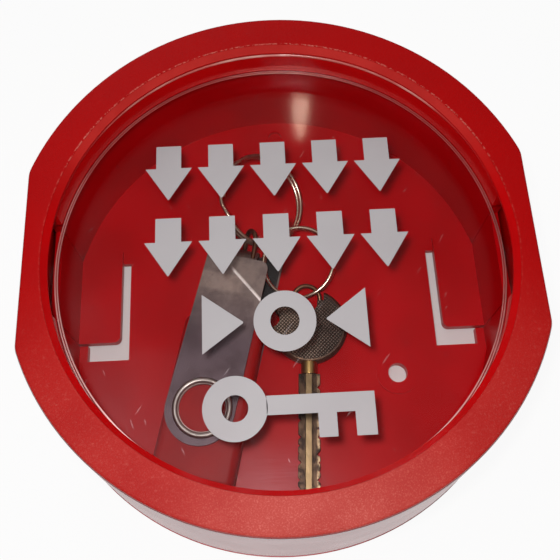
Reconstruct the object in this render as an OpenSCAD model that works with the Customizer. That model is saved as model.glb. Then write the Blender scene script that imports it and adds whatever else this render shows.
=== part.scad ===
/* [Box] */
// Depth from the wall face to the front face
box_depth = 57; // [54:1:64]
// Radius of the round front face
face_r = 75; // [74.5:0.5:77]
// Half distance between the two flats of the front face
face_flat = 70.5; // [70:0.5:72]
// How much wider the skirt is at the wall than at the front, per side
skirt_flare = 3.5; // [3:0.25:4.5]
// Wall thickness of the cover
cover_t = 2.4; // [2:0.1:2.6]
// Rounding where the flats meet the round outline
corner_r = 7; // [3:1:10]
// Outer radius of the sloped lip on the front face
lip_outer_r = 65.4; // [65:0.2:67]
// Radius of the opening in the cover
opening_r = 63.9; // [63:0.1:64.2]

/* [Tray] */
// Thickness of the back plate
plate_t = 3; // [2.6:0.2:3.4]
// Inner radius of the round tray wall
tray_r = 69; // [68.6:0.2:69.2]
// Thickness of the round tray wall
tray_t = 2; // [1.6:0.2:2.2]
// Half distance between the inner flats of the tray
tray_flat = 66.4; // [66:0.2:66.8]
// Height of the ledge on top of the inner flats
ledge_z = 31; // [28:1:33]
// Distance between the two screw holes
screw_pcd = 88.9; // [82:0.1:92]
// Radius of the screw holes
screw_r = 3.1; // [2.4:0.1:3.4]

/* [Clear panel] */
// Depth of the panel's outer face below the front face
panel_drop = 13.5; // [12:0.5:15]
// Thickness of the panel
panel_t = 2; // [1.6:0.2:2.4]
// Radius of the score line round the part that breaks out
score_r = 64.5; // [64:0.1:64.8]

/* [Key set] */
// Outer diameter of the large split ring
large_ring_d = 32; // [30:0.5:33]
// Outer diameter of the small split ring
small_ring_d = 25; // [24:0.5:26]
// Wire diameter of the split rings
ring_wire_d = 1.3; // [1.1:0.05:1.3]
// Height of the folded steel clip on the tag
clip_h = 12.05; // [11:0.25:12.3]
// Radius of the clip's round end
clip_end_r = 10.7; // [10:0.1:11]
// Width of the plastic tag in the clip
tag_w = 25.6; // [24:0.2:26]
// Radius of the key's round bow
bow_r = 12.3; // [11:0.1:12.6]
// Width of the key blade
blade_w = 6.8; // [6:0.2:7.4]

/* [Hidden] */
$fn = 96;
eps = 0.01;

// Skirt: the cover widens from the front face to the wall
skirt_r = face_r + skirt_flare;
skirt_flat = face_flat + skirt_flare - 0.5;
seam = 0.15;
face_round = 1.1;
lip_drop = 2.4;
lip_t = 3;
function skirt_r_at(z) = skirt_r - (skirt_r - face_r) * z / box_depth;
function skirt_flat_at(z) = skirt_flat - (skirt_flat - face_flat) * z / box_depth;

// Heights of the panel and of the tray rim that it lies over
panel_z = box_depth - panel_drop;
panel_outer_r = 72.9;
panel_flat = 68.3;
panel_gap = 0.05;
score_gap = 0.2;
rest_gap = 0.2;
rim_z = panel_z - panel_t - rest_gap;
lip_z = box_depth - lip_t;
tray_outer_r = tray_r + tray_t;
tray_outer_flat = 69.1;
ledge_gap_w = 35;

// Latch tab: a springy tongue in the back plate with an upright that bears on the cover
tab_inner_x = 53;
tab_outer_x = 68.7;
tab_low_y = -11.2;
tab_pad_y = 20.4;
tab_high_y = 17.6;
tab_under = 1.4;
tab_pad_z = 4.6;
tab_gap = 0.4;
tab_corner_r = 2;
nose_low_z = 22;
nose_h = 5;
nose_w = 14;
nose_reach = 0.7;

// L-shaped slot beside the tab
slot_w = 2.7;
slot_leg_y = -16.8;
slot_top_y = 16.4;
slot_end_x = 63.7;

// Details of the back plate
boss_r = 6.8;
boss_h = 0.5;
screw_angle = 145.4;
dimple_r = 2.3;
dimple_depth = 1.4;
dimple_at = [0.8, 63.2];
recess_r = 60;
recess_depth = 0.8;
recess_pad_r = 9;

// Small hooks that hold the panel in the cover
hook_angles = [50, 90, 130, 230, 270, 310];
hook_r = 71.4;
hook_w = 8;
hook_h = 1.1;
stop_r = 70.8;
stop_flat = 67.4;

// Round inner wall between the panel and the lip, open at the two flats
wall_r = 65.1;
wall_t = 2.2;
window_w = 29;

// Places of the two split rings: centre, lean and the line they lean about, place of the crossing
large_c = [-4.77, 32.36, 15.43];
large_lean = 35.1;
large_axis = [0.153, 0.555, 0];
large_cross = 199;
large_free = 14;
large_ramp = 10;
small_c = [6.45, 11.87, 9.27];
small_lean = 14.3;
small_axis = [0.124, -0.214, 0];
small_cross = -87;
small_free = 32;
small_ramp = 26;
ring_pitch = ring_wire_d + 0.45;
ring_sides = 6;
ring_steps = 46;

// Clip of the tag: two leaves joined by a bend, seen from the middle of the bend
clip_at = [-12, 16.9];
clip_turn = -15;
clip_z = plate_t + 0.25;
clip_t = 1.1;
clip_top = clip_z + clip_h;
bend_r = clip_h / 2;
bend_from = -10.2;
bend_to = 5.8;
top_leaf_y = -4.3;
top_leaf_half = 10.15;
top_end = [-0.1, -54.9];
low_leaf_left = -11.8;
low_leaf_right = 13.8;
low_leaf_top = 3;
leaf_corner_r = 2.5;
low_end_y = -42;
pivot_at = [0.56, -54.2];
pivot_r = 7.6;
eyelet_r = 8.3;
eyelet_wire_r = 0.92;
eyelet_t = 0.3;

// Tag in the clip; its round boss turns in the eyelet
tag_at = [-27.2, -47];
tag_turn = -13.25;
tag_top_y = 40.5;
tag_low_y = -10.4;
tag_corner_r = 2.8;
tag_z = clip_z + clip_t + 0.1;
tag_top = clip_top - clip_t - 0.1;
tag_round = 2.6;
boss_gap = 0.3;

// Wire staple on the bend; the large ring runs through it
loop_at = [2.6, 2.1, 15.2];
loop_pitch = 35;
loop_roll = 37;
loop_wire_r = 0.75;
loop_half = 3.1;
loop_leg = 6.2;

// Place of the key, from the middle of its bow; it leans down towards its tip
key_at = [8.8, -9.5, 6.8];
key_turn = -3.5;
key_lean = 1.9;
bow_t = 3.8;
bow_edge = 0.9;
bow_notch = [-1, 7.7, 3.6];
bow_shoulder_y = 8.5;
bow_scallop = [-12.6, 2.2, 2.9];
eye_wire_r = 0.7;
eye_half = 4.5;
eye_at = [-1, 8.9];
eye_root_y = 5.5;
eye_pitch = 15;
eye_roll = 10;
collar_r = 2.6;
collar_y = -11.6;
collar_len = 4;
blade_len = 39;
blade_t = 2.4;
bow_shoulder_x = 4.8;
rib_w = 2.2;
rib_t = 3.2;
bit_count = 13;
bit_first = 3;
bit_cut = 1.6;
bit_least = 0.45;
bit_spread = 0.4;
tip_cut = 3.2;

// Outline of the cover and the back plate: a circle with two flats and rounded corners
module outline(r, flat, corner = corner_r) {
    offset(r = corner) offset(delta = -corner) intersection() {
        circle(r, $fn = 144);
        square([2 * flat, 2 * r + 2], center = true);
    }
}

// A thin slice of an outline, for the hulls of the cover
module slice(r, flat, z, corner = corner_r) {
    translate([0, 0, z]) linear_extrude(eps) outline(r, flat, corner);
}

// Space that one latch tab takes, grown by gap
module tab_space(gap) {
    intersection() {
        translate([-tab_outer_x - gap, tab_low_y - gap, -1])
            cube([tab_outer_x - tab_inner_x + gap, tab_pad_y - tab_low_y + 2 * gap, tab_pad_z + 1]);
        union() {
            translate([0, 0, -1]) cylinder(r = tray_r - tab_gap + gap, h = 10);
            translate([-tab_outer_x - gap, tab_low_y - gap, -1])
                cube([10, tab_high_y - tab_low_y + 2 * gap, 10]);
        }
    }
}

// L-shaped slot at the left tab
module l_slot() {
    translate([-tab_inner_x, slot_leg_y, -1]) cube([slot_w, slot_top_y - slot_leg_y, plate_t + 2]);
    translate([-slot_end_x, slot_leg_y, -1])
        cube([slot_end_x - tab_inner_x + slot_w, tab_low_y - slot_leg_y, plate_t + 2]);
}

module screw_places() {
    for (a = [screw_angle, screw_angle + 180])
        rotate(a) translate([screw_pcd / 2, 0, 0]) children();
}

module base_tray() {
    color("firebrick") difference() {
        union() {
            linear_extrude(plate_t) outline(skirt_r, skirt_flat);
            intersection() {
                translate([0, 0, plate_t - 1]) cylinder(r = tray_outer_r, h = rim_z - plate_t + 1);
                translate([-tray_outer_flat, -tray_outer_r, 0])
                    cube([2 * tray_outer_flat, 2 * tray_outer_r, box_depth]);
            }
        }
        difference() {
            intersection() {
                translate([0, 0, plate_t]) cylinder(r = tray_r, h = ledge_z - plate_t);
                translate([-tray_flat, -tray_r, 0]) cube([2 * tray_flat, 2 * tray_r, box_depth]);
            }
            screw_places() cylinder(r = boss_r, h = plate_t + boss_h);
        }
        translate([0, 0, ledge_z - eps]) cylinder(r = tray_r, h = box_depth);
        for (side = [0, 1]) mirror([side, 0, 0]) {
            tab_space(tab_gap);
            l_slot();
            translate([-tray_outer_r, tab_low_y - tab_gap, -1])
                cube([tray_outer_r - tray_flat + 0.3, tab_high_y - tab_low_y + 2 * tab_gap, ledge_z + 1]);
            translate([-tray_outer_r - 1, -ledge_gap_w / 2, ledge_z])
                cube([10, ledge_gap_w, box_depth]);
        }
        screw_places() translate([0, 0, -1]) cylinder(r = screw_r, h = plate_t + boss_h + 2);
        translate([dimple_at[0], dimple_at[1], plate_t - dimple_depth]) cylinder(r = dimple_r, h = 5);
        difference() {
            translate([0, 0, -1]) cylinder(r = recess_r, h = 1 + recess_depth);
            screw_places() translate([0, 0, -2]) cylinder(r = recess_pad_r, h = 5);
        }
    }
}

// Tab with its pad, upright and nose, drawn on the left side
module latch_tab() {
    intersection() {
        tab_space(0);
        translate([0, 0, tab_under]) union() {
            translate([-tab_outer_x, tab_low_y + tab_corner_r, 0]) cube([40, 60, 10]);
            translate([-tab_outer_x, tab_low_y, 0])
                cube([tab_outer_x - tab_inner_x - tab_corner_r, 60, 10]);
            translate([-tab_inner_x - tab_corner_r, tab_low_y + tab_corner_r, 0])
                cylinder(r = tab_corner_r, h = 10);
        }
    }
    translate([-tab_outer_x, tab_low_y, tab_under])
        cube([tab_outer_x - tray_flat, tab_high_y - tab_low_y, ledge_z - tab_under]);
    translate([-tab_outer_x, (tab_low_y + tab_high_y + nose_w) / 2, nose_low_z])
        rotate([90, 0, 0]) linear_extrude(nose_w)
            polygon([[0.5, 0], [-nose_reach, 0], [-nose_reach, nose_h / 3], [0, nose_h], [0.5, nose_h]]);
}

module latch_tab_left() {
    color("red") latch_tab();
}

module latch_tab_right() {
    color("red") mirror([1, 0, 0]) latch_tab();
}

module cover_ring() {
    color("red") {
        difference() {
            hull() {
                slice(skirt_r_at(plate_t), skirt_flat_at(plate_t), plate_t + seam);
                slice(face_r, face_flat, box_depth - face_round);
                slice(face_r - face_round * 0.3, face_flat - face_round * 0.3, box_depth - face_round * 0.35);
                slice(face_r - face_round, face_flat - face_round, box_depth - eps);
            }
            hull() {
                slice(skirt_r_at(0) - cover_t, skirt_flat_at(0) - cover_t, 0);
                slice(skirt_r_at(panel_z) - cover_t, skirt_flat_at(panel_z) - cover_t, panel_z);
            }
            intersection() {
                translate([0, 0, panel_z - 1]) cylinder(r = stop_r, h = lip_z - panel_z + 1);
                translate([-stop_flat, -stop_r, 0]) cube([2 * stop_flat, 2 * stop_r, box_depth]);
            }
            translate([0, 0, lip_z - 1]) cylinder(r = opening_r, h = 10);
            translate([0, 0, box_depth - lip_drop])
                cylinder(r1 = opening_r, r2 = lip_outer_r, h = lip_drop + eps);
        }
        for (a = hook_angles)
            rotate(a) translate([hook_r, -hook_w / 2, panel_z - panel_t - rest_gap - hook_h])
                cube([3, hook_w, hook_h]);
        difference() {
            translate([0, 0, panel_z]) cylinder(r = wall_r + wall_t, h = lip_z - panel_z + 0.5);
            translate([0, 0, panel_z - 1]) cylinder(r = wall_r, h = lip_z - panel_z + 3);
            translate([-face_r, -window_w / 2, panel_z - 1])
                cube([2 * face_r, window_w, lip_z - panel_z + 1]);
        }
    }
}

module panel_rim() {
    color("lightcyan", 0.35) difference() {
        intersection() {
            translate([0, 0, panel_z - panel_t]) cylinder(r = panel_outer_r, h = panel_t - panel_gap);
            translate([-panel_flat, -face_r, 0]) cube([2 * panel_flat, 2 * face_r, box_depth]);
        }
        translate([0, 0, panel_z - panel_t - 1]) cylinder(r = score_r, h = panel_t + 2);
    }
}

module break_disc() {
    color("lightcyan", 0.35) translate([0, 0, panel_z - panel_t])
        cylinder(r = score_r - score_gap, h = panel_t - panel_gap);
}

// Height of the split ring's wire as it winds: one turn, a short crossing, the next turn
function wind_z(t, ramp) =
    let (s = min(1, max(0, (t - 360 + ramp) / (2 * ramp))))
    ring_pitch * (s * s * (3 - 2 * s) - 0.5);

function wind_angle(i, free) = free + (720 - 2 * free) * i / ring_steps;

// Corners of the wire's section at one step of the winding
function wire_section(r, t, ramp) = [for (k = [0:ring_sides - 1])
    let (f = 360 * k / ring_sides, w = ring_wire_d / 2)
    [(r + w * cos(f)) * cos(t), (r + w * cos(f)) * sin(t), wind_z(t, ramp) + w * sin(f)]];

// Two triangles between neighbouring corners of two sections
function wall_faces(i) = [for (k = [0:ring_sides - 1])
    let (a = i * ring_sides + k, b = i * ring_sides + (k + 1) % ring_sides)
    each [[a, a + ring_sides, b + ring_sides], [a, b + ring_sides, b]]];

// Split ring: one unbroken wire wound nearly twice round
module split_ring(outer_d, free, ramp) {
    r = (outer_d - ring_wire_d) / 2;
    last = ring_steps * ring_sides;
    turns = [for (i = [0:ring_steps]) wind_angle(i, free)];
    points = [for (t = turns) each wire_section(r, t, ramp)];
    start_face = [for (k = [1:ring_sides - 2]) [0, k, k + 1]];
    end_face = [for (k = [1:ring_sides - 2]) [last, last + k + 1, last + k]];
    walls = [for (i = [0:ring_steps - 1]) each wall_faces(i)];
    polyhedron(points, concat(start_face, walls, end_face), convexity = 4);
    centres = [for (t = turns) [r * cos(t), r * sin(t), wind_z(t, ramp)]];
    least = min([for (i = [0:ring_steps]) for (j = [i + 8:1:ring_steps]) norm(centres[i] - centres[j])]);
    echo(split_ring = outer_d, least_gap = least - ring_wire_d);
}

module split_ring_large() {
    color("silver") translate(large_c) rotate(a = large_lean, v = large_axis) rotate(large_cross)
        split_ring(large_ring_d, large_free, large_ramp);
}

module split_ring_small() {
    color("silver") translate(small_c) rotate(a = small_lean, v = small_axis) rotate(small_cross)
        split_ring(small_ring_d, small_free, small_ramp);
}

module clip_frame() {
    translate([clip_at[0], clip_at[1], 0]) rotate(clip_turn) children();
}

module top_leaf() {
    translate([0, 0, clip_top - clip_t]) linear_extrude(clip_t) hull() {
        translate(top_end) circle(clip_end_r, $fn = 64);
        for (x = [-1, 1])
            translate([x * (top_leaf_half - leaf_corner_r), top_leaf_y - leaf_corner_r])
                circle(leaf_corner_r, $fn = 24);
    }
}

module low_leaf() {
    mid = (low_leaf_left + low_leaf_right) / 2;
    half = (low_leaf_right - low_leaf_left) / 2;
    translate([mid, 0, clip_z]) linear_extrude(clip_t) hull() {
        translate([0, low_end_y]) circle(half, $fn = 64);
        translate([leaf_corner_r - half, -bend_r - leaf_corner_r]) circle(leaf_corner_r, $fn = 24);
        translate([half - leaf_corner_r, low_leaf_top - leaf_corner_r]) circle(leaf_corner_r, $fn = 24);
    }
}

module loop_frame() {
    clip_frame() translate(loop_at) rotate([loop_pitch, 0, 0]) rotate([0, loop_roll, 0]) children();
}

// One leg of the staple, grown by gap
module loop_legs(gap) {
    for (z = [-1, 1]) translate([0, -loop_leg, z * loop_half]) rotate([-90, 0, 0])
        cylinder(r = loop_wire_r + gap, h = loop_leg, $fn = 24);
}

module fob_clip() {
    color("silver") difference() {
        clip_frame() difference() {
            union() {
                top_leaf();
                low_leaf();
                translate([bend_from, -bend_r, clip_z + bend_r]) rotate([0, 90, 0])
                    cylinder(r = bend_r, h = bend_to - bend_from);
                translate([bend_from, -bend_r - 3, clip_z]) cube([bend_to - bend_from, 3, clip_t]);
            }
            translate([bend_from - 1, -bend_r, clip_z + bend_r]) rotate([0, 90, 0])
                cylinder(r = bend_r - clip_t, h = bend_to - bend_from + 2);
            translate([-30, -30 - bend_r, clip_z + clip_t]) cube([60, 30, clip_h - 2 * clip_t]);
            translate([pivot_at[0], pivot_at[1], clip_top - 3]) cylinder(r = pivot_r, h = 5);
        }
        loop_frame() loop_legs(0.06);
    }
}

// Rolled eyelet in the top leaf; its sleeve is the bearing for the tag
module fob_eyelet() {
    color("gainsboro") clip_frame() translate([pivot_at[0], pivot_at[1], clip_top]) rotate_extrude() {
        difference() {
            translate([eyelet_r, 0.4]) circle(eyelet_wire_r, $fn = 24);
            translate([eyelet_r - 2, -2]) square([4, 2]);
        }
        translate([pivot_r - 0.05 - eyelet_t, -clip_t + 0.05]) square([eyelet_t, clip_t + 0.4]);
    }
}

module tag_frame() {
    translate([tag_at[0], tag_at[1], 0]) rotate(tag_turn) children();
}

// One corner of the tag: a short post under a rounded shoulder
module tag_corner() {
    translate([0, 0, tag_z]) rotate_extrude($fn = 32)
        polygon([[0, 0], [tag_corner_r - 0.5, 0], [tag_corner_r, 0.5],
            for (a = [0:22.5:90]) [tag_corner_r - tag_round * (1 - cos(a)),
                tag_top - tag_z - tag_round * (1 - sin(a))],
            [0, tag_top - tag_z]]);
}

module fob_tag() {
    color("crimson") {
        tag_frame() hull()
            for (x = [-1, 1]) for (y = [tag_low_y + tag_corner_r, tag_top_y - tag_corner_r])
                translate([x * (tag_w / 2 - tag_corner_r), y, 0]) tag_corner();
        clip_frame() translate([pivot_at[0], pivot_at[1], tag_top - 2])
            cylinder(r = pivot_r - 0.05 - eyelet_t - boss_gap, h = 2.7);
    }
}

// Wire staple on the bend; the large ring runs through it
module fob_loop() {
    color("darkgoldenrod") loop_frame() {
        loop_legs(0);
        rotate([0, -90, 0]) rotate_extrude(angle = 180) translate([loop_half, 0])
            circle(loop_wire_r, $fn = 24);
    }
}

module key_frame() {
    translate(key_at) rotate(key_turn) rotate([key_lean, 0, 0]) children();
}

module eye_frame() {
    key_frame() translate([eye_at[0], eye_root_y, 0]) rotate([eye_pitch, 0, 0]) rotate([0, eye_roll, 0])
        translate([0, eye_at[1] - eye_root_y, 0]) children();
}

// Legs of the key's wire eye, grown by gap
module eye_legs(gap) {
    for (x = [-1, 1]) translate([x * eye_half, eye_root_y - eye_at[1], 0]) rotate([-90, 0, 0])
        cylinder(r = eye_wire_r + gap, h = eye_at[1] - eye_root_y, $fn = 24);
}

module key_eye() {
    color("peru") eye_frame() {
        eye_legs(0);
        rotate_extrude(angle = 180) translate([eye_half, 0]) circle(eye_wire_r, $fn = 24);
    }
}

module key_bow() {
    color("gray") difference() {
        key_frame() difference() {
            rotate_extrude($fn = 96) polygon([[0, -bow_t / 2], [bow_r - bow_edge, -bow_t / 2],
                [bow_r, -bow_t / 2 + bow_edge], [bow_r, bow_t / 2 - bow_edge],
                [bow_r - bow_edge, bow_t / 2], [0, bow_t / 2]]);
            translate([bow_notch[0], bow_notch[1], -5]) cylinder(r = bow_notch[2], h = 10);
            translate([bow_notch[0] - bow_notch[2], bow_notch[1], -5]) cube([2 * bow_notch[2], 10, 10]);
            translate([-bow_r, bow_shoulder_y, -5]) cube([bow_r + bow_shoulder_x, 10, 10]);
            translate([bow_scallop[0], bow_scallop[1], -5]) cylinder(r = bow_scallop[2], h = 10);
            translate([0, collar_y, 0]) rotate([90, 0, 0]) cylinder(r = collar_r + 0.02, h = 10);
        }
        eye_frame() eye_legs(0.04);
    }
}

module key_collar() {
    color("goldenrod") key_frame() translate([0, collar_y, 0]) rotate([90, 0, 0])
        cylinder(r = collar_r, h = collar_len, $fn = 48);
}

// How deep each cut of the bitting goes
function bit_depth(i) = bit_least + bit_spread * sin(i * 137);

module key_blade() {
    bit_pitch = (blade_len - 2 * bit_first) / bit_count;
    color("darkkhaki") key_frame() translate([0, collar_y - collar_len, 0]) {
        difference() {
            translate([-blade_w / 2, -blade_len, -blade_t / 2]) cube([blade_w, blade_len, blade_t]);
            for (i = [0:bit_count - 1]) for (x = [-1, 1])
                translate([x * (blade_w / 2 + 1 - bit_depth(i + 3 * x)),
                    -bit_first - bit_pitch * (i + 0.5), 0])
                    rotate(45) cube([bit_cut, bit_cut, 5], center = true);
            for (x = [-1, 1]) translate([x * blade_w / 2, -blade_len, 0])
                rotate(45) cube([tip_cut, tip_cut, 5], center = true);
        }
        translate([-rib_w / 2, -blade_len + 1, -rib_t / 2]) cube([rib_w, blade_len - 1, rib_t]);
    }
}

base_tray();
latch_tab_left();
latch_tab_right();
cover_ring();
panel_rim();
break_disc();
split_ring_large();
split_ring_small();
fob_clip();
fob_tag();
fob_eyelet();
fob_loop();
key_eye();
key_bow();
key_collar();
key_blade();
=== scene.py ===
"""Looks of the break glass key box: a red wall box with a clear front and a key set inside."""

import logging
import math
from dataclasses import dataclass, field
from enum import Enum
from typing import Any, Callable, Optional, Sequence

import bpy
from mathutils import Matrix, Vector


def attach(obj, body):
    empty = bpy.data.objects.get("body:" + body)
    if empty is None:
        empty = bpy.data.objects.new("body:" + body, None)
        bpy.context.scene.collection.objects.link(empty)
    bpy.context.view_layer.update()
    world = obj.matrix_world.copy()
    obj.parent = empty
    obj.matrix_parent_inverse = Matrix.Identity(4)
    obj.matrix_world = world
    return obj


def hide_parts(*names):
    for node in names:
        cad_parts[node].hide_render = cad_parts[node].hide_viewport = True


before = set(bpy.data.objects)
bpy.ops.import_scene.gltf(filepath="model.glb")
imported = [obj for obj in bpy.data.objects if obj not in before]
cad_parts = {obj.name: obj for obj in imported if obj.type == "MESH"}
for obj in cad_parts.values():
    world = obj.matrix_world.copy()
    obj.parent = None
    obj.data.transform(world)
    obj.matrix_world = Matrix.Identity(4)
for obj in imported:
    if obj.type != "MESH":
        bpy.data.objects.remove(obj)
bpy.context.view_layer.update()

MM = 0.001
log = logging.getLogger("key_box")


class Body(Enum):
    """The bodies that the pieces ride on."""

    TRAY = "tray"
    COVER = "cover"
    DISC = "front_disc"
    KEY_SET = "key_set"
    TAG = "tag"
    KEY = "key"
    LEFT_TONGUE = "latch_tongue_left"
    RIGHT_TONGUE = "latch_tongue_right"


# Shader maths


class Sock:
    """One socket in a material's tree; arithmetic on it adds Math nodes."""

    def __init__(self, tree: "Tree", link: Any) -> None:
        """Keeps the tree and the socket.

        Args:
            tree: the material's tree.
            link: the node's output socket.
        """
        self.tree = tree
        self.link = link

    def _math(self, operation: str, *values: Any) -> "Sock":
        """Adds a Math node.

        Args:
            operation: name of the operation.
            values: sockets or numbers.

        Returns:
            The result's socket.
        """
        return self.tree.node("ShaderNodeMath", {"operation": operation}, dict(enumerate(values)))

    def __add__(self, other: Any) -> "Sock":
        """self + other."""
        return self._math("ADD", self, other)

    __radd__ = __add__

    def __sub__(self, other: Any) -> "Sock":
        """self - other."""
        return self._math("SUBTRACT", self, other)

    def __rsub__(self, other: Any) -> "Sock":
        """other - self."""
        return self._math("SUBTRACT", other, self)

    def __mul__(self, other: Any) -> "Sock":
        """self * other."""
        return self._math("MULTIPLY", self, other)

    __rmul__ = __mul__

    def __truediv__(self, other: Any) -> "Sock":
        """self / other."""
        return self._math("DIVIDE", self, other)

    def __pow__(self, other: Any) -> "Sock":
        """self to the power of other."""
        return self._math("POWER", self, other)

    def __abs__(self) -> "Sock":
        """Size without the sign."""
        return self._math("ABSOLUTE", self)

    def most(self, other: Any) -> "Sock":
        """The larger of the two."""
        return self._math("MAXIMUM", self, other)

    def least(self, other: Any) -> "Sock":
        """The smaller of the two."""
        return self._math("MINIMUM", self, other)

    def sine(self) -> "Sock":
        """Sine of the value in radians."""
        return self._math("SINE", self)

    def step(self, low: float, high: float) -> "Sock":
        """Smooth step: 0 below low, 1 above high.

        Args:
            low: where it starts.
            high: where it ends; it may be the smaller of the two.

        Returns:
            The mask's socket.
        """
        return self.tree.node("ShaderNodeMapRange", {"interpolation_type": "SMOOTHSTEP", "clamp": True},
                              {"Value": self, "From Min": low, "From Max": high})


class Tree:
    """The node tree of one material."""

    def __init__(self, name: str) -> None:
        """Starts a material with an empty tree.

        Args:
            name: the material's name.
        """
        self.material = bpy.data.materials.new(name)
        self.material.use_nodes = True
        self.nodes = self.material.node_tree.nodes
        self.links = self.material.node_tree.links
        self.nodes.clear()
        place = self.nodes.new("ShaderNodeTexCoord")
        self.place = Sock(self, place.outputs["Object"])

    def node(self, kind: str, settings: Optional[dict[str, Any]] = None,
             values: Optional[dict[Any, Any]] = None, out: Any = 0) -> Sock:
        """Adds a node.

        Args:
            kind: the node's type.
            settings: its settings, which are set first; stops are a ramp's colours.
            values: values or links of its sockets, by name or number.
            out: which output is wanted.

        Returns:
            The output's socket.
        """
        made = self.nodes.new(kind)
        for key, value in (settings or {}).items():
            if key == "stops":
                ramp = made.color_ramp
                while len(ramp.elements) < len(value):
                    ramp.elements.new(0.5)
                for stop, (where, colour) in zip(ramp.elements, value):
                    stop.position, stop.color = where, colour
            else:
                setattr(made, key, value)
        for key, value in (values or {}).items():
            if isinstance(value, Sock):
                self.links.new(value.link, made.inputs[key])
            else:
                made.inputs[key].default_value = value
        return Sock(self, made.outputs[out])

    def axes(self) -> tuple[Sock, Sock, Sock]:
        """The place's three coordinates in metres."""
        split = self.nodes.new("ShaderNodeSeparateXYZ")
        self.links.new(self.place.link, split.inputs[0])
        return tuple(Sock(self, split.outputs[i]) for i in range(3))

    def facing(self) -> tuple[Sock, Sock, Sock]:
        """The surface's direction as three coordinates."""
        split = self.nodes.new("ShaderNodeSeparateXYZ")
        where = self.nodes.new("ShaderNodeNewGeometry")
        self.links.new(where.outputs["True Normal"], split.inputs[0])
        return tuple(Sock(self, split.outputs[i]) for i in range(3))

    def noise(self, scale: float, detail: float = 4.0, rough: float = 0.5,
              place: Optional[Sock] = None) -> Sock:
        """Noise from 0 to 1.

        Args:
            scale: cells per metre.
            detail: how many finer layers.
            rough: how strong they are.
            place: coordinates other than the object's.

        Returns:
            The noise's socket.
        """
        return self.node("ShaderNodeTexNoise", {}, {"Vector": place or self.place, "Scale": scale,
                                                    "Detail": detail, "Roughness": rough})

    def stretched(self, turn: float, across: float, along: float) -> Sock:
        """Coordinates turned about Z and scaled for brushed lines.

        Args:
            turn: angle of the lines from the Y axis, in degrees.
            across: scale across the lines.
            along: scale along them.

        Returns:
            The coordinates' socket.
        """
        return self.node("ShaderNodeMapping", {"vector_type": "TEXTURE"},
                         {"Vector": self.place, "Rotation": (0, 0, math.radians(turn)),
                          "Scale": (1 / across, 1 / along, 1 / across)})

    def mix(self, mask: Any, first: Any, second: Any) -> Sock:
        """Colour between two others.

        Args:
            mask: 0 for the first, 1 for the second.
            first: colour or socket.
            second: colour or socket.

        Returns:
            The colour's socket.
        """
        return self.node("ShaderNodeMix", {"data_type": "RGBA"}, {0: mask, 6: first, 7: second}, 2)

    def bump(self, height: Sock, depth: float, strength: float = 1.0) -> Sock:
        """Bump from a height of 0 to 1.

        Args:
            height: the height.
            depth: how much 1 stands for, in metres.
            strength: share of the effect.

        Returns:
            The normal's socket.
        """
        return self.node("ShaderNodeBump", {}, {"Height": height, "Distance": depth, "Strength": strength})

    def surface(self, **values: Any) -> Sock:
        """Principled shader with the given sockets; _ stands for a space.

        Args:
            values: values or links by socket name.

        Returns:
            The shader's socket.
        """
        named = {key.replace("_", " "): value for key, value in values.items()}
        return self.node("ShaderNodeBsdfPrincipled", {}, named)

    def finish(self, shader: Sock) -> bpy.types.Material:
        """Ends the tree.

        Args:
            shader: the last shader.

        Returns:
            The material.
        """
        end = self.nodes.new("ShaderNodeOutputMaterial")
        self.links.new(shader.link, end.inputs["Surface"])
        return self.material


def rgb(red: float, green: float, blue: float) -> tuple[float, float, float, float]:
    """Colour from screen values of 0 to 255.

    Args:
        red: red value.
        green: green value.
        blue: blue value.

    Returns:
        The colour for a shader.
    """
    def plain(value: float) -> float:
        """One channel without the screen's curve."""
        part = value / 255
        return part / 12.92 if part <= 0.04045 else ((part + 0.055) / 1.055) ** 2.4
    return (plain(red), plain(green), plain(blue), 1.0)


# Finishes


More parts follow.
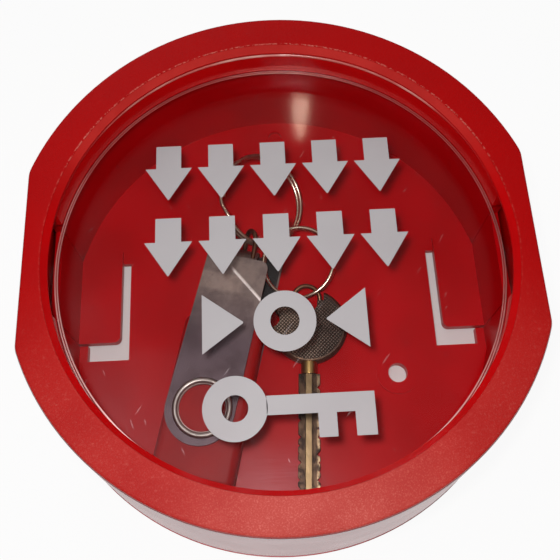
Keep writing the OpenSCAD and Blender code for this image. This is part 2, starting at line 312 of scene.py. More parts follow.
@dataclass(frozen=True)
class CoverRed:
    """Red moulded cover: a grained front ring and a smooth lip, with painted highlights on the lower front
    face, along the lip's edge and on the upper slope of the lip.
    """

    deep: tuple = rgb(175, 1, 3)
    # Pale colour of the painted highlights on the face and lip.
    worn: tuple = rgb(220, 124, 112)
    inside: tuple = rgb(206, 8, 12)
    shade: tuple = rgb(160, 4, 8)
    sheen_at: tuple = (6 * MM, -72 * MM)
    sheen_reach: float = 34 * MM
    sheen_share: float = 0.24
    speck_share: float = 0.24
    lower_y: float = -60 * MM
    upper_y: tuple = (10 * MM, 45 * MM)
    lip_r: float = 65.4 * MM
    wall_r: float = 66 * MM
    slope_z: float = 54.2 * MM
    front_z: float = 56.4 * MM

    def make(self) -> bpy.types.Material:
        """Builds the material."""
        t = Tree("cover_red")
        x, y, z = t.axes()
        radius = (x * x + y * y) ** 0.5
        face = z.step(self.front_z, self.front_z + 0.4 * MM)
        face = face * radius.step(self.lip_r - 0.2 * MM, self.lip_r)
        fine = t.noise(4200, 2.0, 0.6)
        coarse = t.noise(70, 3.0)
        scuff = t.noise(900, 5.0, 0.7).step(0.54, 0.75)
        # Painted highlight: pale sheen on the front face round a point near its bottom and over its lower
        # half, for the lamp's gloss on the grain, broken up by specks; the scuffs are real wear.
        dx, dy = x - self.sheen_at[0], y - self.sheen_at[1]
        near = ((dx * dx * 0.5 + dy * dy) ** 0.5).step(self.sheen_reach, 4 * MM)
        lower = y.step(0, self.lower_y)
        speck = t.noise(2600, 2.0, 0.7).step(0.48, 0.7)
        pale = near * (self.sheen_share + self.speck_share * speck)
        pale = face * (pale + lower * (0.1 + 0.12 * speck + 0.25 * scuff) + scuff * 0.015)
        # Painted highlight: pale specks along the lip's edge and a paler slope under it, both stronger on the
        # upper side.
        upper = y.step(*self.upper_y)
        rim = radius.step(self.lip_r - 0.15 * MM, self.lip_r)
        rim = rim * radius.step(self.lip_r + 0.5 * MM, self.lip_r + 0.2 * MM)
        rim = rim * z.step(self.front_z, self.front_z + 0.3 * MM) * t.noise(1100, 3.0, 0.7).step(0.45, 0.6)
        inner = (1 - face) * radius.step(self.wall_r + 0.5 * MM, self.wall_r)
        slope = inner * upper * z.step(self.slope_z, self.slope_z + 0.4 * MM)
        colour = t.mix(inner * 0.8, self.deep, self.inside)
        # The painted highlights above take the pale colour.
        colour = t.mix(pale.most(rim * (0.15 + upper * 0.6)).most(slope * 0.16), colour, self.worn)
        colour = t.mix(coarse.step(0.35, 0.7) * 0.3, colour, self.shade)
        grain = face * fine + (1 - face) * fine * 0.1
        return t.finish(t.surface(
            Base_Color=colour, Roughness=0.2 + face * 0.24 + scuff * 0.06, Specular_IOR_Level=0.1,
            Normal=t.bump(grain, 0.09 * MM)))


@dataclass(frozen=True)
class SkirtRed:
    """Smooth red of the cover's outside and of its bead; where the share is set, a pale arc along the upper
    side is a painted highlight.
    """

    name: str = "cover_skirt"
    deep: tuple = rgb(186, 16, 18)
    rough: float = 0.2
    gloss: float = 0.8
    # Share of the painted highlight along the upper arc; the skirt has none.
    gleam: float = 0.0
    shade: tuple = rgb(166, 10, 14)
    bright: tuple = rgb(240, 190, 178)
    arc_y: tuple = (34 * MM, 58 * MM)

    def make(self) -> bpy.types.Material:
        """Builds the material."""
        t = Tree(self.name)
        cloud = t.noise(60, 3.0)
        _, y, _ = t.axes()
        colour = t.mix(cloud.step(0.35, 0.7) * 0.4, self.deep, self.shade)
        # Painted highlight: a pale, patchy arc along the upper side.
        arc = y.step(*self.arc_y) * (0.35 + 0.65 * t.noise(55, 2.0).step(0.42, 0.6))
        colour = t.mix(arc * self.gleam, colour, self.bright)
        return t.finish(t.surface(
            Base_Color=colour, Roughness=self.rough + cloud * 0.1, Specular_IOR_Level=self.gloss,
            Normal=t.bump(t.noise(1500, 2.0), 0.015 * MM)))


@dataclass(frozen=True)
class TrayRed:
    """Glossy red of the tray and its tongues, with a painted reflection on the lower middle of the floor."""

    deep: tuple = rgb(182, 2, 10)
    pale: tuple = rgb(196, 4, 16)
    # Pink of the painted reflection on the floor.
    pink: tuple = rgb(214, 120, 134)
    grey: tuple = rgb(205, 120, 120)
    patch_left: tuple = (-22 * MM, -12 * MM)
    patch_right: tuple = (7 * MM, 3 * MM)
    patch_y: tuple = (-42 * MM, -56 * MM)
    floor_z: float = 3.4 * MM

    def make(self) -> bpy.types.Material:
        """Builds the material."""
        t = Tree("tray_red")
        waves = t.noise(45, 3.0)
        grain = t.noise(1400, 3.0, 0.6)
        dust = t.noise(420, 6.0, 0.75).step(0.62, 0.78)
        x, y, z = t.axes()
        # Painted reflection: a streaky pink patch on the lower middle of the floor, for the lamp's gloss
        # there.
        gleam = t.noise(1.0, 3.0, 0.6, t.stretched(90, 2600, 90)).step(0.3, 0.7)
        patch = x.step(*self.patch_left) * x.step(*self.patch_right) * y.step(*self.patch_y)
        patch = patch * z.step(self.floor_z + 0.3 * MM, self.floor_z) * (0.4 + 0.6 * gleam)
        colour = t.mix(waves.step(0.35, 0.7), self.deep, self.pale)
        colour = t.mix(patch * 0.26, colour, self.pink)
        colour = t.mix(dust * 0.12, colour, self.grey)
        return t.finish(t.surface(
            Base_Color=colour, Roughness=0.26 + waves * 0.12 + dust * 0.15, Specular_IOR_Level=0.14,
            Normal=t.bump(grain * 0.35 + waves * 0.65, 0.05 * MM)))


@dataclass(frozen=True)
class ClearPanel:
    """Clear plastic: faint haze, fine scratches and a bright line where it is scored."""

    tint: tuple = (0.985, 0.975, 0.975, 1.0)
    film: tuple = rgb(226, 216, 218)
    line: tuple = rgb(250, 205, 200)
    score_r: float = 64.4 * MM
    top_z: float = 43.45 * MM
    haze: float = 0.001
    left_reach: tuple = (-60 * MM, -100 * MM)

    def make(self) -> bpy.types.Material:
        """Builds the material."""
        t = Tree("clear_panel")
        lines = t.noise(1.0, 3.0, 0.6, t.stretched(28, 2600, 60)).step(0.64, 0.72)
        cuts = t.noise(1.0, 2.0, 0.5, t.stretched(-38, 900, 110)).step(0.735, 0.79)
        cuts = cuts.most(t.noise(1.0, 2.0, 0.5, t.stretched(20, 1000, 120)).step(0.745, 0.8))
        cloud = t.noise(38, 3.0).step(0.4, 0.75)
        px, py, pz = t.axes()
        radius = (px * px + py * py) ** 0.5
        upper = pz.step(self.top_z - 0.8 * MM, self.top_z - 0.6 * MM)
        scored = radius.step(self.score_r - 0.75 * MM, self.score_r - 0.45 * MM) * upper
        scored = scored * radius.step(self.score_r + 0.6 * MM, self.score_r + 0.3 * MM)
        left = (px * 1.5 + py * 0.5).step(*self.left_reach)
        flat = abs(t.facing()[2])
        slant = flat.step(0.08, 0.3) * flat.step(0.995, 0.9) * upper
        gloss = t.surface(Base_Color=t.mix(scored, self.film, self.line), Metallic=1.0,
                          Roughness=0.065 + lines * 0.2 + scored * 0.35 + left * 0.12 + cuts * 0.3,
                          Normal=t.bump(t.noise(30, 1.0), 0.03 * MM))
        clear = t.node("ShaderNodeBsdfTransparent", {}, {"Color": self.tint})
        edge = t.node("ShaderNodeFresnel", {}, {"IOR": 1.46})
        veil = self.haze + edge * 0.2 + lines * 0.012 + cloud * 0.004 + cuts * 0.13
        veil = veil + left * (0.01 + cloud * 0.014)
        share = (veil * flat.step(0.05, 0.6)).most(slant * 0.35).most(scored * (0.6 + cloud * 0.35))
        return t.finish(t.node("ShaderNodeMixShader", {}, {0: share, 1: clear, 2: gloss}))


@dataclass(frozen=True)
class Metal:
    """A metal with brushed lines, smudges and a little wear."""

    name: str
    colour: tuple
    dark: tuple
    rough: float = 0.3
    turn: float = 0.0
    across: float = 3000.0
    along: float = 90.0
    lines: float = 0.02 * MM

    def make(self) -> bpy.types.Material:
        """Builds the material."""
        t = Tree(self.name)
        brushed = t.noise(1.0, 3.0, 0.6, t.stretched(self.turn, self.across, self.along))
        smudge = t.noise(130, 4.0, 0.6).step(0.38, 0.68)
        pits = t.noise(1900, 3.0, 0.7).step(0.62, 0.76)
        colour = t.mix(smudge * 0.6 + pits * 0.3, self.colour, self.dark)
        return t.finish(t.surface(Base_Color=colour, Metallic=1.0,
                                  Roughness=self.rough + smudge * 0.12 + brushed * 0.1,
                                  Normal=t.bump(brushed + pits * 0.4, self.lines)))


@dataclass(frozen=True)
class ClipSteel:
    """Brushed clip with painted light: paler by the fold and darker by the eyelet, with a painted sheen band
    and a painted highlight along the crease, and painted shade, dark red to nearly black, between the leaves.
    """

    fold: tuple = (-12 * MM, 16.9 * MM)
    turn: float = -15.0
    # Upper and lower make a painted reflection; sheen and bright are painted highlights.
    upper: tuple = rgb(146, 132, 126)
    lower: tuple = rgb(76, 62, 72)
    sheen: tuple = rgb(176, 158, 148)
    bright: tuple = rgb(250, 244, 240)
    soiled: tuple = rgb(70, 58, 60)
    # Painted shade between the leaves: nearly black towards the fold, dark red further on.
    black: tuple = rgb(14, 10, 10)
    red: tuple = rgb(92, 14, 16)
    crease_at: float = 9.5 * MM
    leaf_gap_z: float = 4.8 * MM
    leaf_edge: float = 13.1 * MM

    def make(self) -> bpy.types.Material:
        """Builds the material."""
        t = Tree("clip_steel")
        x, y, z = t.axes()
        cos, sin = math.cos(math.radians(self.turn)), math.sin(math.radians(self.turn))
        dx, dy = x - self.fold[0], y - self.fold[1]
        across, along = dx * cos + dy * sin, dy * cos - dx * sin
        brushed = t.noise(1.0, 3.0, 0.6, t.stretched(self.turn, 2600, 60))
        smudge = t.noise(150, 4.0, 0.6).step(0.36, 0.68)
        pits = t.noise(1500, 3.0, 0.7).step(0.6, 0.74)
        # Painted reflection: paler near the fold, darker towards the eyelet.
        down = along.step(-8 * MM, -34 * MM)
        colour = t.mix(down * 0.85, self.upper, self.lower)
        # Painted highlight: a bright line along the crease, which the bump also dents.
        crease = abs(along + self.crease_at + across * 0.75).step(0.9 * MM, 0.15 * MM)
        crease = crease * across.step(-2 * MM, 0)
        # Painted sheen: a paler band across part of the upper leaf.
        band = along.step(-10.5 * MM, -11.5 * MM) * along.step(-17.5 * MM, -16 * MM)
        colour = t.mix(band * across.step(4 * MM, 2 * MM) * 0.5, colour, self.sheen)
        colour = t.mix(crease, colour, self.bright)
        colour = t.mix(smudge * 0.4 + pits * 0.3, colour, self.soiled)
        # Painted shade: the lower leaf's top between the leaves turns dark red and not metallic, nearly black
        # towards the fold.
        under = z.step(self.leaf_gap_z + 0.4 * MM, self.leaf_gap_z)
        under = under * across.step(self.leaf_edge + 0.25 * MM, self.leaf_edge)
        colour = t.mix(under * 0.85, colour, self.red)
        colour = t.mix(under * along.step(-22 * MM, -17 * MM), colour, self.black)
        return t.finish(t.surface(
            Base_Color=colour, Metallic=1 - under, Roughness=0.42 + smudge * 0.1 + brushed * 0.1,
            Normal=t.bump(brushed + pits * 0.4 + crease * 2, 0.03 * MM)))


@dataclass(frozen=True)
class BladeMetal:
    """Dark blade with a brass rib, paled by wear, and bright cuts along its right edge."""

    middle: tuple = (8.8 * MM, -9.5 * MM)
    turn: float = -3.5
    rib: float = 1.1 * MM
    edge: tuple = (2.2 * MM, 2.7 * MM)
    dark: tuple = rgb(62, 46, 34)
    deep: tuple = rgb(28, 18, 14)
    worn: tuple = rgb(112, 94, 68)
    cut: tuple = rgb(128, 108, 84)

    def make(self) -> bpy.types.Material:
        """Builds the material."""
        t = Tree("key_blade")
        x, y, _ = t.axes()
        cos, sin = math.cos(math.radians(self.turn)), math.sin(math.radians(self.turn))
        across = (x - self.middle[0]) * cos + (y - self.middle[1]) * sin
        rib = abs(across + 0.2 * MM).step(self.rib, self.rib - 0.3 * MM)
        edge = across.step(*self.edge)
        stain = t.noise(300, 4.0, 0.65)
        colour = t.mix(stain.step(0.4, 0.65), self.dark, self.deep)
        colour = t.mix(rib * 0.9, colour, self.worn)
        colour = t.mix(edge * stain.step(0.6, 0.4), colour, self.cut)
        return t.finish(t.surface(Base_Color=colour, Metallic=0.9, Roughness=0.3 + stain * 0.15,
                                  Normal=t.bump(stain, 0.08 * MM)))


@dataclass(frozen=True)
class KnurledKey:
    """Dark key metal: knurled inside the rim, smooth and brownish on it."""

    centre: tuple = (8.8 * MM, -9.5 * MM)
    rim_r: float = 11.0 * MM
    pitch: float = 1.15 * MM
    rim: tuple = rgb(128, 102, 82)
    knurled: tuple = rgb(154, 138, 122)
    shadow: tuple = rgb(66, 50, 48)
    groove: tuple = rgb(30, 22, 18)
    stained: tuple = rgb(46, 34, 30)
    shadow_x: tuple = (-3 * MM, 7 * MM)

    def make(self) -> bpy.types.Material:
        """Builds the material."""
        t = Tree("key_knurled")
        x, y, _ = t.axes()
        dx, dy = x - self.centre[0], y - self.centre[1]
        inside = ((dx * dx + dy * dy) ** 0.5).step(self.rim_r + 0.25 * MM, self.rim_r - 0.25 * MM)
        rate = 2 * math.pi / self.pitch
        rows = abs(((dx + dy) * rate * 0.5).sine()).least(abs(((dx - dy) * rate * 0.5).sine()))
        knurl = rows.step(0.12, 0.8) * inside
        stain = t.noise(240, 4.0, 0.6)
        colour = t.mix(inside, self.rim, self.knurled)
        colour = t.mix(dx.step(*self.shadow_x) * 0.65, colour, self.shadow)
        colour = t.mix((1 - rows.step(0.1, 0.6)) * inside * 0.9, colour, self.groove)
        colour = t.mix(stain.step(0.45, 0.7) * 0.5, colour, self.stained)
        return t.finish(t.surface(Base_Color=colour, Metallic=0.75, Roughness=0.38 + stain * 0.14,
                                  Normal=t.bump(knurl + stain * 0.1, 0.22 * MM)))


@dataclass(frozen=True)
class TagRed:
    """Orange red plastic of the tag."""

    colour: tuple = rgb(158, 14, 14)
    shade: tuple = rgb(140, 18, 20)

    def make(self) -> bpy.types.Material:
        """Builds the material."""
        t = Tree("tag_red")
        cloud = t.noise(120, 4.0)
        colour = t.mix(cloud.step(0.35, 0.7) * 0.5, self.colour, self.shade)
        return t.finish(t.surface(Base_Color=colour, Roughness=0.34 + cloud * 0.12, Specular_IOR_Level=0.12,
                                  Normal=t.bump(t.noise(1500, 2.0), 0.02 * MM)))


@dataclass(frozen=True)
class PrintWhite:
    """Pale screen printed ink."""

    colour: tuple = rgb(180, 177, 180)
    shade: tuple = rgb(170, 165, 169)

    def make(self) -> bpy.types.Material:
        """Builds the material."""
        t = Tree("print_white")
        patch = t.noise(60, 3.0)
        dots = t.noise(2600, 2.0, 0.7).step(0.66, 0.76)
        colour = t.mix(patch.step(0.3, 0.75) * 0.4 + dots * 0.3, self.colour, self.shade)
        return t.finish(t.surface(Base_Color=colour, Roughness=0.5 + patch * 0.1,
                                  Normal=t.bump(dots, 0.01 * MM)))


# Modelling helpers


def active() -> bpy.types.Object:
    """The object that an operator has just made or joined."""
    return bpy.context.view_layer.objects.active


def only(obj: bpy.types.Object) -> None:
    """Selects one object and nothing else.

    Args:
        obj: the object.
    """
    bpy.ops.object.select_all(action="DESELECT")
    obj.select_set(True)
    bpy.context.view_layer.objects.active = obj


def modify(obj: bpy.types.Object, kind: str, **settings: Any) -> None:
    """Adds a modifier and applies it.

    Args:
        obj: the object.
        kind: the modifier's type.
        settings: its settings.
    """
    only(obj)
    made = obj.modifiers.new(kind.lower(), kind)
    for key, value in settings.items():
        setattr(made, key, value)
    bpy.ops.object.modifier_apply(modifier=made.name)


def pick(obj: bpy.types.Object, where: Callable[[Vector], bool]) -> None:
    """Selects the vertices of a mesh in edit mode by their place.

    Args:
        obj: the object, which is left in edit mode.
        where: tells whether a place counts.
    """
    bpy.ops.object.mode_set(mode="EDIT")
    bpy.ops.mesh.select_mode(type="VERT")
    bpy.ops.mesh.select_all(action="DESELECT")
    bpy.ops.object.mode_set(mode="OBJECT")
    for vertex in obj.data.vertices:
        vertex.select = where(vertex.co)
    bpy.ops.object.mode_set(mode="EDIT")


def join(parts: Sequence[bpy.types.Object], name: str) -> bpy.types.Object:
    """Joins objects into one.

    Args:
        parts: the objects.
        name: the name of the result.

    Returns:
        The joined object.
    """
    bpy.ops.object.select_all(action="DESELECT")
    for part in parts:
        part.select_set(True)
    bpy.context.view_layer.objects.active = parts[0]
    if len(parts) > 1:
        bpy.ops.object.join()
    made = active()
    made.name = name
    return made


def settle(obj: bpy.types.Object) -> None:
    """Puts the object's place into its mesh.

    Args:
        obj: the object.
    """
    only(obj)
    bpy.ops.object.transform_apply(location=True, rotation=True, scale=True)


def paint(obj: bpy.types.Object, material: bpy.types.Material) -> None:
    """Gives the whole object one material.

    Args:
        obj: the object.
        material: the material.
    """
    obj.data.materials.clear()
    obj.data.materials.append(material)
    for face in obj.data.polygons:
        face.material_index = 0


def rounded_copy(node: str, body: Body, material: bpy.types.Material,
                 edge: float = 0.0, angle: float = 35.0) -> bpy.types.Object:
    """Copies a CAD node, softens its edges and shows the copy for it.

    Args:
        node: the node's name.
        body: the body that it rides on.
        material: the copy's material.
        edge: width of the softened edges in metres, or 0.
        angle: faces that meet at less than this angle are shaded as one, in degrees.

    Returns:
        The copy.
    """
    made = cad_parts[node].copy()
    made.data = made.data.copy()
    made.parent = None
    for key in [k for k in made.keys() if k.startswith("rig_")]:
        del made[key]
    made.name = node + "_finished"
    bpy.context.scene.collection.objects.link(made)
    only(made)
    bpy.ops.object.mode_set(mode="EDIT")
    bpy.ops.mesh.select_all(action="SELECT")
    bpy.ops.mesh.customdata_custom_splitnormals_clear()
    bpy.ops.mesh.remove_doubles(threshold=0.002 * MM)
    if edge:
        bpy.ops.mesh.dissolve_limited(angle_limit=math.radians(0.5))
    bpy.ops.object.mode_set(mode="OBJECT")
    if edge:
        modify(made, "BEVEL", width=edge, segments=2, limit_method="ANGLE",
               angle_limit=math.radians(40), harden_normals=False)
    only(made)
    bpy.ops.object.shade_smooth_by_angle(angle=math.radians(angle))
    modify(made, "WEIGHTED_NORMAL", keep_sharp=True)
    paint(made, material)
    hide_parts(node)
    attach(made, body.value)
    log.info("%s stands for %s", made.name, node)
    return made


# Sub-assemblies


@dataclass
class Shell:
    """The tray with its tongues, and the cover."""

    cover: bpy.types.Material = field(default_factory=lambda: CoverRed().make())
    skirt: bpy.types.Material = field(default_factory=lambda: SkirtRed().make())
    tray: bpy.types.Material = field(default_factory=lambda: TrayRed().make())
    side_rise: float = 0.25
    side_out: float = 0.5

    def build(self) -> None:
        """Dresses the tray, the tongues and the cover."""
        rounded_copy("base_tray", Body.TRAY, self.tray, 0.0, 30)
        rounded_copy("latch_tab_left", Body.LEFT_TONGUE, self.tray, 0.35 * MM)
        rounded_copy("latch_tab_right", Body.RIGHT_TONGUE, self.tray, 0.35 * MM)
        made = rounded_copy("cover_ring", Body.COVER, self.cover, 0.0, 30)
        made.data.materials.append(self.skirt)
        for face in made.data.polygons:
            out = Vector((face.center.x, face.center.y, 0)).normalized()
            if face.normal.z < self.side_rise and face.normal.dot(out) > self.side_out:
                face.material_index = 1


@dataclass
class Front:
    """The clear panel, its break-out disc and the plain print on it."""

    clear: bpy.types.Material = field(default_factory=lambda: ClearPanel().make())
    ink: bpy.types.Material = field(default_factory=lambda: PrintWhite().make())
    # The bead's red carries a painted highlight along its upper arc.
    bead_red: bpy.types.Material = field(default_factory=lambda: SkirtRed(
        "lip_bead", rgb(196, 8, 12), rough=0.12, gloss=0.5, gleam=0.85).make())
    top_z: float = 43.46 * MM
    ink_t: float = 0.04 * MM
    shaft_share: float = 0.27
    neck_share: float = 0.42
    point_share: float = 0.02
    pointer_half: float = 8.6
    bead_r: float = 64.9 * MM
    bead_t: float = 0.35 * MM
    bead_z: float = 51.9 * MM

    def flat_ring(self, x: float, y: float, outer: float, inner: float) -> bpy.types.Object:
        """A flat ring.

        Args:
            x: its middle across the panel, in mm.
            y: its middle up the panel, in mm.
            outer: outer radius in mm.
            inner: inner radius in mm.

        Returns:
            The ring.
        """
        bpy.ops.object.select_all(action="DESELECT")
        bpy.ops.mesh.primitive_circle_add(vertices=64, radius=outer * MM, fill_type="NGON",
                                          location=(x * MM, y * MM, self.top_z))
        made = active()
        bpy.ops.object.mode_set(mode="EDIT")
        bpy.ops.mesh.select_all(action="SELECT")
        bpy.ops.mesh.inset(thickness=(outer - inner) * MM)
        bpy.ops.mesh.delete(type="ONLY_FACE")
        bpy.ops.object.mode_set(mode="OBJECT")
        settle(made)
        return made

    def flat_bar(self, low: tuple[float, float], high: tuple[float, float]) -> bpy.types.Object:
        """A flat bar.

        Args:
            low: its lower left corner in mm.
            high: its upper right corner in mm.

        Returns:
            The bar.
        """
        bpy.ops.object.select_all(action="DESELECT")
        middle = ((low[0] + high[0]) / 2 * MM, (low[1] + high[1]) / 2 * MM, self.top_z)
        bpy.ops.mesh.primitive_grid_add(x_subdivisions=1, y_subdivisions=1, size=1, location=middle)
        made = active()
        made.scale = ((high[0] - low[0]) * MM, (high[1] - low[1]) * MM, 1)
        settle(made)
        return made

    def arrow(self, x: float, top: float, width: float, height: float) -> bpy.types.Object:
        """A bold arrow that points down.

        Args:
            x: its middle in mm.
            top: its highest line in mm.
            width: width of its head in mm.
            height: its whole height in mm.

        Returns:
            The arrow.
        """
        half = width * self.shaft_share
        neck = top - height * self.neck_share
        made = self.flat_bar((x - half, neck), (x + half, top))
        pick(made, lambda place: place.y < (neck + 0.01) * MM)
        bpy.ops.mesh.extrude_region_move(TRANSFORM_OT_translate={"value": (0, -0.01 * MM, 0)})
        middle = (x * MM, neck * MM, self.top_z)
        bpy.ops.transform.resize(value=(width / 2 / half, 1, 1), center_override=middle)
        bpy.ops.mesh.extrude_region_move(TRANSFORM_OT_translate={"value": (0, (top - height - neck) * MM, 0)})
        bpy.ops.transform.resize(value=(self.point_share, 1, 1), center_override=middle)
        bpy.ops.object.mode_set(mode="OBJECT")
        return made

    def pointer(self, x: float, y: float, size: float) -> bpy.types.Object:
        """A solid triangle that points to the middle of its row.

        Args:
            x: its blunt side in mm.
            y: its middle in mm.
            size: its length in mm, negative for one that points left.

        Returns:
            The triangle.
        """
        low, high = min(x, x + size), max(x, x + size)
        made = self.flat_bar((low, y - self.pointer_half), (high, y + self.pointer_half))
        pick(made, lambda place: abs(place.x - (x + size) * MM) < 0.1 * MM)
        bpy.ops.transform.resize(value=(1, self.point_share, 1), center_override=(x * MM, y * MM, self.top_z))
        bpy.ops.object.mode_set(mode="OBJECT")
        return made

    def key_sign(self) -> list[bpy.types.Object]:
        """A plain lying key: ring, shaft and two teeth."""
        low, shaft_low, shaft_high, end = -50, -43.6, -38.4, 23.5
        teeth = [self.flat_bar((x, low), (x + w, shaft_low)) for x, w in ((8.0, 5.0), (18, 5.5))]
        ring = self.flat_ring(-14.2, -41.4, 8.8, 3.6)
        shaft = self.flat_bar((-5.7, shaft_low), (end, shaft_high))
        return [ring, shaft, *teeth]

    def bead(self) -> bpy.types.Object:
        """The glossy bead under the lip, round the top of the inner wall."""
        bpy.ops.object.select_all(action="DESELECT")
        bpy.ops.mesh.primitive_torus_add(
            major_radius=self.bead_r, minor_radius=self.bead_t, major_segments=180,
            minor_segments=12, location=(0, 0, self.bead_z))
        made = active()
        made.name = "lip_bead"
        bpy.ops.object.mode_set(mode="EDIT")
        bpy.ops.mesh.select_all(action="SELECT")
        bpy.ops.transform.resize(value=(1, 1, 1.4), center_override=(0, 0, self.bead_z))
        bpy.ops.object.mode_set(mode="OBJECT")
        bpy.ops.object.shade_smooth()
        settle(made)
        paint(made, self.bead_red)
        return made

    def sign(self) -> bpy.types.Object:
        """The whole print: two rows of arrows, a ring between pointers and a lying key."""
        places, row_tops = (-32.4, -16.6, -0.8, 15, 30.8), (39, 15)
        parts = [self.arrow(x, top, 14, 18) for top in row_tops for x in places]
        row_y, reach = -17.7, 11.5
        parts += [self.flat_ring(0.4, row_y, 8.8, 4.1), self.pointer(-22.8, row_y, reach),
                  self.pointer(23.6, row_y, -reach)]
        parts += self.key_sign()
        made = join(parts, "panel_print")
        modify(made, "SOLIDIFY", thickness=self.ink_t, offset=1.0)
        settle(made)
        paint(made, self.ink)
        return made

    def build(self) -> None:
        """Dresses the clear parts and adds the print."""
        rounded_copy("panel_rim", Body.COVER, self.clear, 0.0, 30)
        rounded_copy("break_disc", Body.DISC, self.clear, 0.2 * MM, 25)
        made = self.sign()
        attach(made, Body.DISC.value)
        log.info("panel_print rides on the disc")
        made = self.bead()
        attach(made, Body.COVER.value)
        log.info("lip_bead rides on the cover")


@dataclass
class WoundRing:
    """A split ring: one wire wound nearly twice round; lengths in mm, angles in degrees.

    The ring leans by lean about axis. The crossing is at cross, free is left open at either
    end, and the wire changes its turn within ramp to either side of the crossing.
    """

    node: str
    outer_d: float
    centre: tuple[float, float, float]
    lean: float
    axis: tuple[float, float, float]
    cross: float
    free: float
    ramp: float
    wire: float = 1.3
    pitch: float = 1.75
    steps: int = 220

    def place(self, share: float) -> Vector:
        """Middle of the wire along the winding, in metres.

        Args:
            share: 0 at one end, 1 at the other.

        Returns:
            The place.
        """
        turn = self.free + (720 - 2 * self.free) * share
        part = min(1.0, max(0.0, (turn - 360 + self.ramp) / (2 * self.ramp)))
        rise = self.pitch * (part * part * (3 - 2 * part) - 0.5)
        radius = (self.outer_d - self.wire) / 2
        angle = math.radians(turn + self.cross)
        flat = Vector((radius * math.cos(angle), radius * math.sin(angle), rise))
        tilt = Matrix.Rotation(math.radians(self.lean), 3, Vector(self.axis).normalized())
        return (tilt @ flat + Vector(self.centre)) * MM

    def build(self, material: bpy.types.Material) -> None:
        """Winds the wire and shows it for the CAD ring.

        Args:
            material: the wire's material.
        """
        curve = bpy.data.curves.new(self.node + "_wire", "CURVE")
        curve.dimensions = "3D"
        curve.bevel_depth = self.wire / 2 * MM
        curve.bevel_resolution = 4
        curve.use_fill_caps = True
        spline = curve.splines.new("POLY")
        spline.points.add(self.steps)
        for index, point in enumerate(spline.points):
            point.co = (*self.place(index / self.steps), 1.0)
        made = bpy.data.objects.new(self.node + "_wire", curve)
        bpy.context.scene.collection.objects.link(made)
        only(made)
        bpy.ops.object.convert(target="MESH")
        made = active()
        bpy.ops.object.shade_smooth_by_angle(angle=math.radians(50))
        paint(made, material)
        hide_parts(self.node)
        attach(made, Body.KEY_SET.value)
        log.info("%s wound from one wire", made.name)


@dataclass
class KeySet:
    """Rings, clip, tag and key."""

    nickel: bpy.types.Material = field(default_factory=lambda: Metal(
        "ring_nickel", rgb(226, 212, 190), rgb(120, 96, 74), rough=0.2).make())
    steel: bpy.types.Material = field(default_factory=lambda: ClipSteel().make())
    polished: bpy.types.Material = field(default_factory=lambda: Metal(
        "eyelet_steel", rgb(176, 168, 162), rgb(112, 104, 100), rough=0.3).make())
    bronze: bpy.types.Material = field(default_factory=lambda: Metal(
        "wire_bronze", rgb(128, 96, 74), rgb(62, 42, 34), rough=0.34).make())
    brass: bpy.types.Material = field(default_factory=lambda: Metal(
        "key_brass", rgb(176, 146, 92), rgb(98, 76, 46), rough=0.28).make())
    dark: bpy.types.Material = field(default_factory=lambda: BladeMetal().make())

    def build(self) -> None:
        """Builds the rings and dresses the rest."""
        large = WoundRing("split_ring_large", outer_d=32, centre=(-4.77, 32.36, 15.43), lean=35.1,
                          axis=(0.153, 0.555, 0), cross=199, free=14, ramp=10)
        small = WoundRing("split_ring_small", outer_d=25, centre=(6.45, 11.87, 9.27), lean=14.3,
                          axis=(0.124, -0.214, 0), cross=-87, free=32, ramp=26)
        for ring in (large, small):
            ring.build(self.nickel)
        rounded_copy("fob_clip", Body.KEY_SET, self.steel, 0.22 * MM)
        rounded_copy("fob_eyelet", Body.KEY_SET, self.polished)
        rounded_copy("fob_loop", Body.KEY_SET, self.bronze)
        rounded_copy("fob_tag", Body.TAG, TagRed().make(), 0.0, 40)
        rounded_copy("key_eye", Body.KEY, self.bronze)
        rounded_copy("key_bow", Body.KEY, KnurledKey().make(), 0.15 * MM)
        rounded_copy("key_collar", Body.KEY, self.brass, 0.2 * MM)
        rounded_copy("key_blade", Body.KEY, self.dark, 0.12 * MM)


# Stage


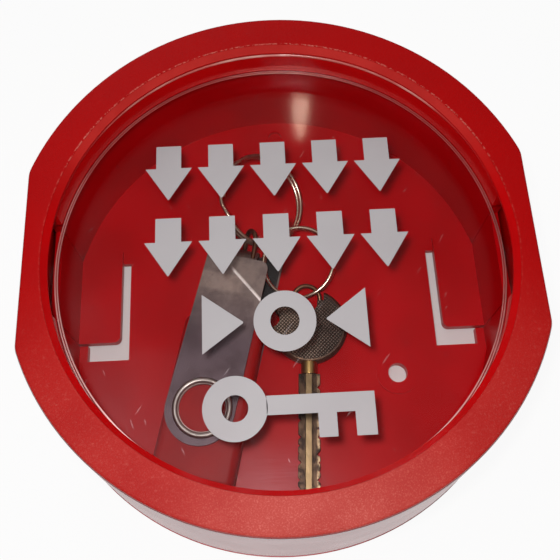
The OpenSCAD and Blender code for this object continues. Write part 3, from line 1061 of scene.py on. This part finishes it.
@dataclass
class Studio:
    """Camera, lamps, floor and background."""

    depth: float = 57.0
    radius: float = 75.0
    tilt: float = 22.97
    roll: float = 0.20
    turn: float = 2.58
    slide: tuple[float, float] = (-0.0059, -0.0726)
    away: float = 2.929
    lens: float = 51.78
    sensor: float = 36.0
    shift: tuple[float, float] = (-0.00357, -0.1)
    under_r: tuple[float, float] = (0.072, 0.066)
    floor_white: float = 0.93
    under_dim: float = 0.88
    plain: float = 0.2
    mirrored_share: float = 0.25

    def view(self) -> tuple[Matrix, Vector]:
        """Where the camera stands.

        Returns:
            Its rotation and its place in metres.
        """
        aim = (Matrix.Rotation(math.radians(self.roll), 3, "Z")
               @ Matrix.Rotation(math.radians(-self.tilt), 3, "X")
               @ Matrix.Rotation(math.radians(self.turn), 3, "Z"))
        back = aim.transposed()
        eye = back @ (Vector((0, 0, self.away)) - Vector((*self.slide, 0))) * self.radius
        return back, (eye + Vector((0, 0, self.depth))) * MM

    def camera(self) -> None:
        """Makes the camera."""
        back, eye = self.view()
        data = bpy.data.cameras.new("camera")
        data.lens, data.sensor_width = self.lens, self.sensor
        data.shift_x, data.shift_y = self.shift
        data.clip_start, data.clip_end = 0.005, 20
        made = bpy.data.objects.new("camera", data)
        bpy.context.scene.collection.objects.link(made)
        made.matrix_world = Matrix.Translation(eye) @ back.to_4x4()
        bpy.context.scene.camera = made

    def lamp(self, name: str, place: Vector, target: Vector, size: tuple[float, float], power: float,
             colour: tuple[float, float, float] = (1, 1, 1)) -> None:
        """Adds a soft lamp.

        Args:
            name: its name.
            place: where it is, in metres.
            target: what it points at, in metres.
            size: its width and height in metres.
            power: its power in watts.
            colour: its colour.
        """
        data = bpy.data.lights.new(name, "AREA")
        data.shape, data.energy, data.color = "ELLIPSE", power, colour
        data.size, data.size_y = size
        made = bpy.data.objects.new(name, data)
        made.location = place
        made.rotation_euler = (target - place).to_track_quat("-Z", "Y").to_euler()
        bpy.context.scene.collection.objects.link(made)

    def lamps(self) -> None:
        """Makes the lamps: a small one beside the camera, wide soft ones and a narrow warm one."""
        back, eye = self.view()
        beside = eye + back @ Vector((-0.0105, 0.0125, 0))
        self.lamp("beside_camera", beside, Vector((0, 0.005, 0.03)),
                  size=(0.016, 0.016), power=0.365, colour=(1, 0.985, 0.97))
        self.lamp("soft_front", Vector((-0.068, -0.022, 0.28)), Vector((-0.035, -0.045, 0.04)),
                  size=(0.11, 0.13), power=0.022, colour=(1, 0.9, 0.94))
        self.lamp("warm_strip", Vector((0.033, 0.322, 0.48)), Vector((0.007, 0.045, 0.043)),
                  size=(0.014, 0.07), power=0.075, colour=(1, 0.8, 0.6))
        self.lamp("wide_above", Vector((-0.25, 0.85, 0.65)), Vector((0, 0, 0)), size=(0.4, 0.4), power=1.6)

    def backdrop(self) -> None:
        """Makes the pale floor and the background."""
        t = Tree("pale_floor")
        rays = t.node("ShaderNodeLightPath", {}, {}, "Is Camera Ray")
        rays = rays.most(t.node("ShaderNodeLightPath", {}, {}, "Is Glossy Ray"))
        rays = rays.most(t.node("ShaderNodeLightPath", {}, {}, "Is Transmission Ray"))
        shade = t.node("ShaderNodeBsdfDiffuse", {}, {"Color": (0.86, 0.86, 0.86, 1)})
        white = t.node("ShaderNodeEmission", {}, {"Color": (1, 1, 1, 1), "Strength": 1.0})
        x, y, _ = t.axes()
        under = ((x * x + y * y) ** 0.5).step(*self.under_r)
        share = rays * (self.floor_white - self.under_dim * under)
        material = t.finish(t.node("ShaderNodeMixShader", {}, {0: share, 1: shade, 2: white}))
        bpy.ops.object.select_all(action="DESELECT")
        bpy.ops.mesh.primitive_plane_add(size=4, location=(0, 0, -0.0003))
        floor = active()
        floor.name = "floor"
        settle(floor)
        floor.data.materials.append(material)
        world = bpy.data.worlds.new("pale_world")
        bpy.context.scene.world = world
        world.use_nodes = True
        nodes, links = world.node_tree.nodes, world.node_tree.links
        nodes.clear()
        path = nodes.new("ShaderNodeLightPath")
        seen = nodes.new("ShaderNodeMath")
        seen.operation = "MAXIMUM"
        links.new(path.outputs["Is Camera Ray"], seen.inputs[0])
        links.new(path.outputs["Is Transmission Ray"], seen.inputs[1])
        shiny = nodes.new("ShaderNodeMath")
        shiny.operation = "MULTIPLY_ADD"
        shiny.inputs[1].default_value = self.mirrored_share
        links.new(path.outputs["Is Glossy Ray"], shiny.inputs[0])
        links.new(seen.outputs[0], shiny.inputs[2])
        plain, bright = nodes.new("ShaderNodeBackground"), nodes.new("ShaderNodeBackground")
        plain.inputs["Color"].default_value = (1.0, 0.985, 0.97, 1)
        plain.inputs["Strength"].default_value = self.plain
        mixed = nodes.new("ShaderNodeMixShader")
        end = nodes.new("ShaderNodeOutputWorld")
        links.new(shiny.outputs[0], mixed.inputs[0])
        links.new(plain.outputs[0], mixed.inputs[1])
        links.new(bright.outputs[0], mixed.inputs[2])
        links.new(mixed.outputs[0], end.inputs[0])
        bright.inputs["Color"].default_value = (1, 1, 1, 1)

    def build(self) -> None:
        """Makes the whole stage."""
        bpy.context.scene.view_settings.view_transform = "Standard"
        self.camera()
        self.lamps()
        self.backdrop()


def main() -> None:
    """Builds the scene in order."""
    logging.basicConfig(level=logging.INFO, format="%(name)s: %(message)s")
    Studio().build()
    Shell().build()
    Front().build()
    KeySet().build()


if __name__ == "__main__":
    main()
